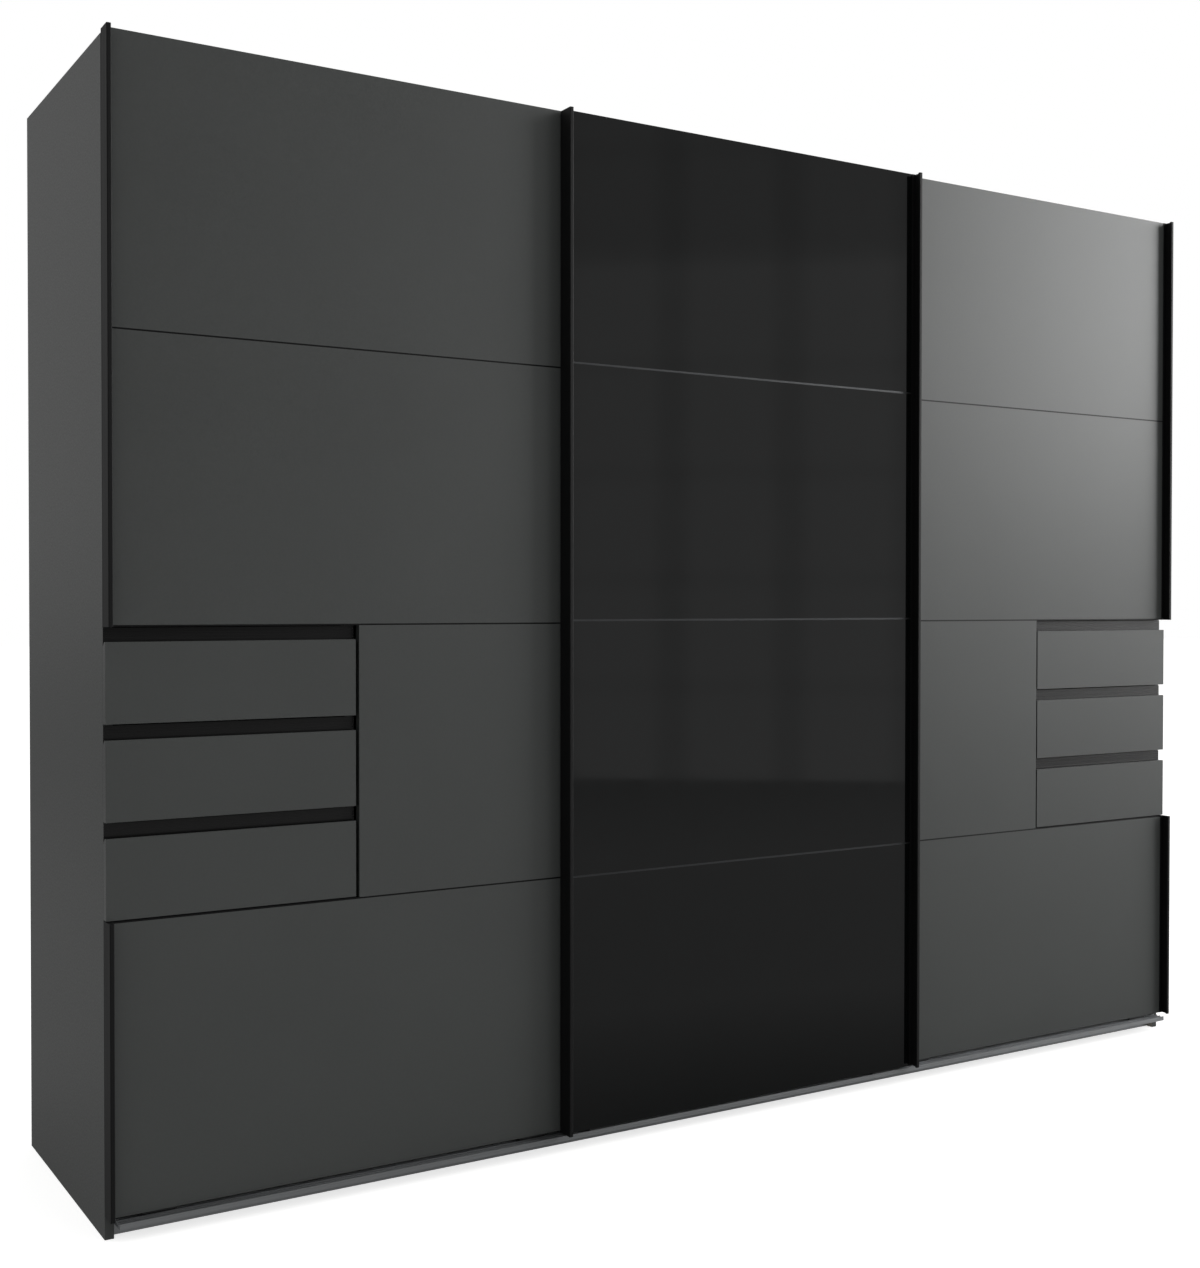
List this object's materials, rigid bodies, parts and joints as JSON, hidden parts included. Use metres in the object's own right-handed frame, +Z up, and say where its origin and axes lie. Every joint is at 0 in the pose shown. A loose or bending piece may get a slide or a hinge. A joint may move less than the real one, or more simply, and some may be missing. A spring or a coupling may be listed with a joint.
{
  "type": "sliding door wardrobe",
  "caption": "Sliding door wardrobe with a black glass centre door, drawers let into the outer doors, hooked pull profiles, hat shelves and clothes rods.",
  "frame": {"origin": "centre of the footprint, on the floor", "axes": "+X to the viewer's right along the front, +Y to the back, +Z up"},
  "size_m": [2.7, 0.6306, 2.08],
  "materials": {
    "black_aluminium": "black anodised, satin",
    "black_glass": "gloss glass with a black coat behind",
    "black_plastic": "moulded",
    "black_rubber": "moulded",
    "chrome_tube": "polished chrome",
    "drawer_board": "light grey foil-faced chipboard",
    "graphite_board": "matt melamine-faced chipboard",
    "hardboard": "hardboard, printed inside and raw behind",
    "mill_aluminium": "bare extrusion",
    "silver_aluminium": "silver anodised, satin",
    "wheel_nylon": "natural nylon",
    "zinc_steel": "zinc plated sheet"
  },
  "bodies": {
    "carcass": {"back_sheets": "hardboard", "bottom_boards": "graphite_board", "clothes_rods": "chrome_tube", "guide_rail": "silver_aluminium", "hat_shelves": "graphite_board", "partition_left": "graphite_board", "partition_right": "graphite_board", "plinth_boards": "graphite_board", "rod_sockets": "black_plastic", "runner_rails": "zinc_steel", "shelf_supports": "zinc_steel", "side_panel_left": "graphite_board", "side_panel_right": "graphite_board", "top_boards": "graphite_board", "top_track": "mill_aluminium", "tower_boards": "graphite_board", "tower_upright_left": "graphite_board", "tower_upright_right": "graphite_board", "track_stops": "black_rubber"},
    "left_door": {"left_door_boards": "graphite_board", "left_door_guides": "black_plastic", "left_door_hangers": "zinc_steel", "left_door_profiles": "black_aluminium", "left_door_strips": "black_aluminium"},
    "left_door_wheel_1": {"left_door_wheel_1": "wheel_nylon"},
    "left_door_wheel_2": {"left_door_wheel_2": "wheel_nylon"},
    "left_drawer_1": {"left_drawer_1_box": "drawer_board", "left_drawer_1_front": "graphite_board", "left_drawer_1_slides": "zinc_steel"},
    "left_drawer_2": {"left_drawer_2_box": "drawer_board", "left_drawer_2_front": "graphite_board", "left_drawer_2_slides": "zinc_steel"},
    "left_drawer_3": {"left_drawer_3_box": "drawer_board", "left_drawer_3_front": "graphite_board", "left_drawer_3_slides": "zinc_steel"},
    "middle_door": {"middle_door_boards": "graphite_board", "middle_door_glass": "black_glass", "middle_door_guides": "black_plastic", "middle_door_hangers": "zinc_steel", "middle_door_profiles": "black_aluminium", "middle_door_strips": "silver_aluminium"},
    "middle_door_wheel_1": {"middle_door_wheel_1": "wheel_nylon"},
    "middle_door_wheel_2": {"middle_door_wheel_2": "wheel_nylon"},
    "right_door": {"right_door_boards": "graphite_board", "right_door_guides": "black_plastic", "right_door_hangers": "zinc_steel", "right_door_profiles": "black_aluminium", "right_door_strips": "black_aluminium"},
    "right_door_wheel_1": {"right_door_wheel_1": "wheel_nylon"},
    "right_door_wheel_2": {"right_door_wheel_2": "wheel_nylon"},
    "right_drawer_1": {"right_drawer_1_box": "drawer_board", "right_drawer_1_front": "graphite_board", "right_drawer_1_slides": "zinc_steel"},
    "right_drawer_2": {"right_drawer_2_box": "drawer_board", "right_drawer_2_front": "graphite_board", "right_drawer_2_slides": "zinc_steel"},
    "right_drawer_3": {"right_drawer_3_box": "drawer_board", "right_drawer_3_front": "graphite_board", "right_drawer_3_slides": "zinc_steel"}
  },
  "joints": [
    {"name": "left_door_slide", "type": "slide", "parent": "carcass", "child": "left_door", "axis": [1, 0, 0], "range_m": [0, 0.846]},
    {"name": "right_door_slide", "type": "slide", "parent": "carcass", "child": "right_door", "axis": [1, 0, 0], "range_m": [-0.846, 0]},
    {"name": "middle_door_slide", "type": "slide", "parent": "carcass", "child": "middle_door", "axis": [1, 0, 0], "range_m": [-0.8815, 0.8665]},
    {"name": "left_drawer_1_slide", "type": "slide", "parent": "carcass", "child": "left_drawer_1", "axis": [0, -1, 0], "range_m": [0, 0.34]},
    {"name": "left_drawer_2_slide", "type": "slide", "parent": "carcass", "child": "left_drawer_2", "axis": [0, -1, 0], "range_m": [0, 0.34]},
    {"name": "left_drawer_3_slide", "type": "slide", "parent": "carcass", "child": "left_drawer_3", "axis": [0, -1, 0], "range_m": [0, 0.34]},
    {"name": "right_drawer_1_slide", "type": "slide", "parent": "carcass", "child": "right_drawer_1", "axis": [0, 1, 0], "range_m": [-0.34, 0]},
    {"name": "right_drawer_2_slide", "type": "slide", "parent": "carcass", "child": "right_drawer_2", "axis": [0, 1, 0], "range_m": [-0.34, 0]},
    {"name": "right_drawer_3_slide", "type": "slide", "parent": "carcass", "child": "right_drawer_3", "axis": [0, 1, 0], "range_m": [-0.34, 0]},
    {"name": "left_door_wheel_1_turn", "type": "hinge", "parent": "left_door", "child": "left_door_wheel_1", "pos_m": [-1.23, -0.24275, 2.0513], "axis": [0, 1, 0], "range_deg": [0, 3463.3]},
    {"name": "left_door_wheel_2_turn", "type": "hinge", "parent": "left_door", "child": "left_door_wheel_2", "pos_m": [-0.545, -0.24275, 2.0513], "axis": [0, 1, 0], "range_deg": [0, 3463.3]},
    {"name": "right_door_wheel_1_turn", "type": "hinge", "parent": "right_door", "child": "right_door_wheel_1", "pos_m": [1.23, -0.24275, 2.0513], "axis": [0, 1, 0], "range_deg": [-3463.3, 0]},
    {"name": "right_door_wheel_2_turn", "type": "hinge", "parent": "right_door", "child": "right_door_wheel_2", "pos_m": [0.545, -0.24275, 2.0513], "axis": [0, 1, 0], "range_deg": [-3463.3, 0]},
    {"name": "middle_door_wheel_1_turn", "type": "hinge", "parent": "middle_door", "child": "middle_door_wheel_1", "pos_m": [-0.3355, -0.21075, 2.0513], "axis": [0, 1, 0], "range_deg": [-3608.6, 3547.2]},
    {"name": "middle_door_wheel_2_turn", "type": "hinge", "parent": "middle_door", "child": "middle_door_wheel_2", "pos_m": [0.3505, -0.21075, 2.0513], "axis": [0, 1, 0], "range_deg": [-3608.6, 3547.2]}
  ],
  "couplings": [
    {"joint": "left_door_wheel_1_turn", "follows": "left_door_slide", "rad_per_m": 71.429},
    {"joint": "left_door_wheel_2_turn", "follows": "left_door_slide", "rad_per_m": 71.429},
    {"joint": "right_door_wheel_1_turn", "follows": "right_door_slide", "rad_per_m": 71.429},
    {"joint": "right_door_wheel_2_turn", "follows": "right_door_slide", "rad_per_m": 71.429},
    {"joint": "middle_door_wheel_1_turn", "follows": "middle_door_slide", "rad_per_m": 71.429},
    {"joint": "middle_door_wheel_2_turn", "follows": "middle_door_slide", "rad_per_m": 71.429}
  ]
}
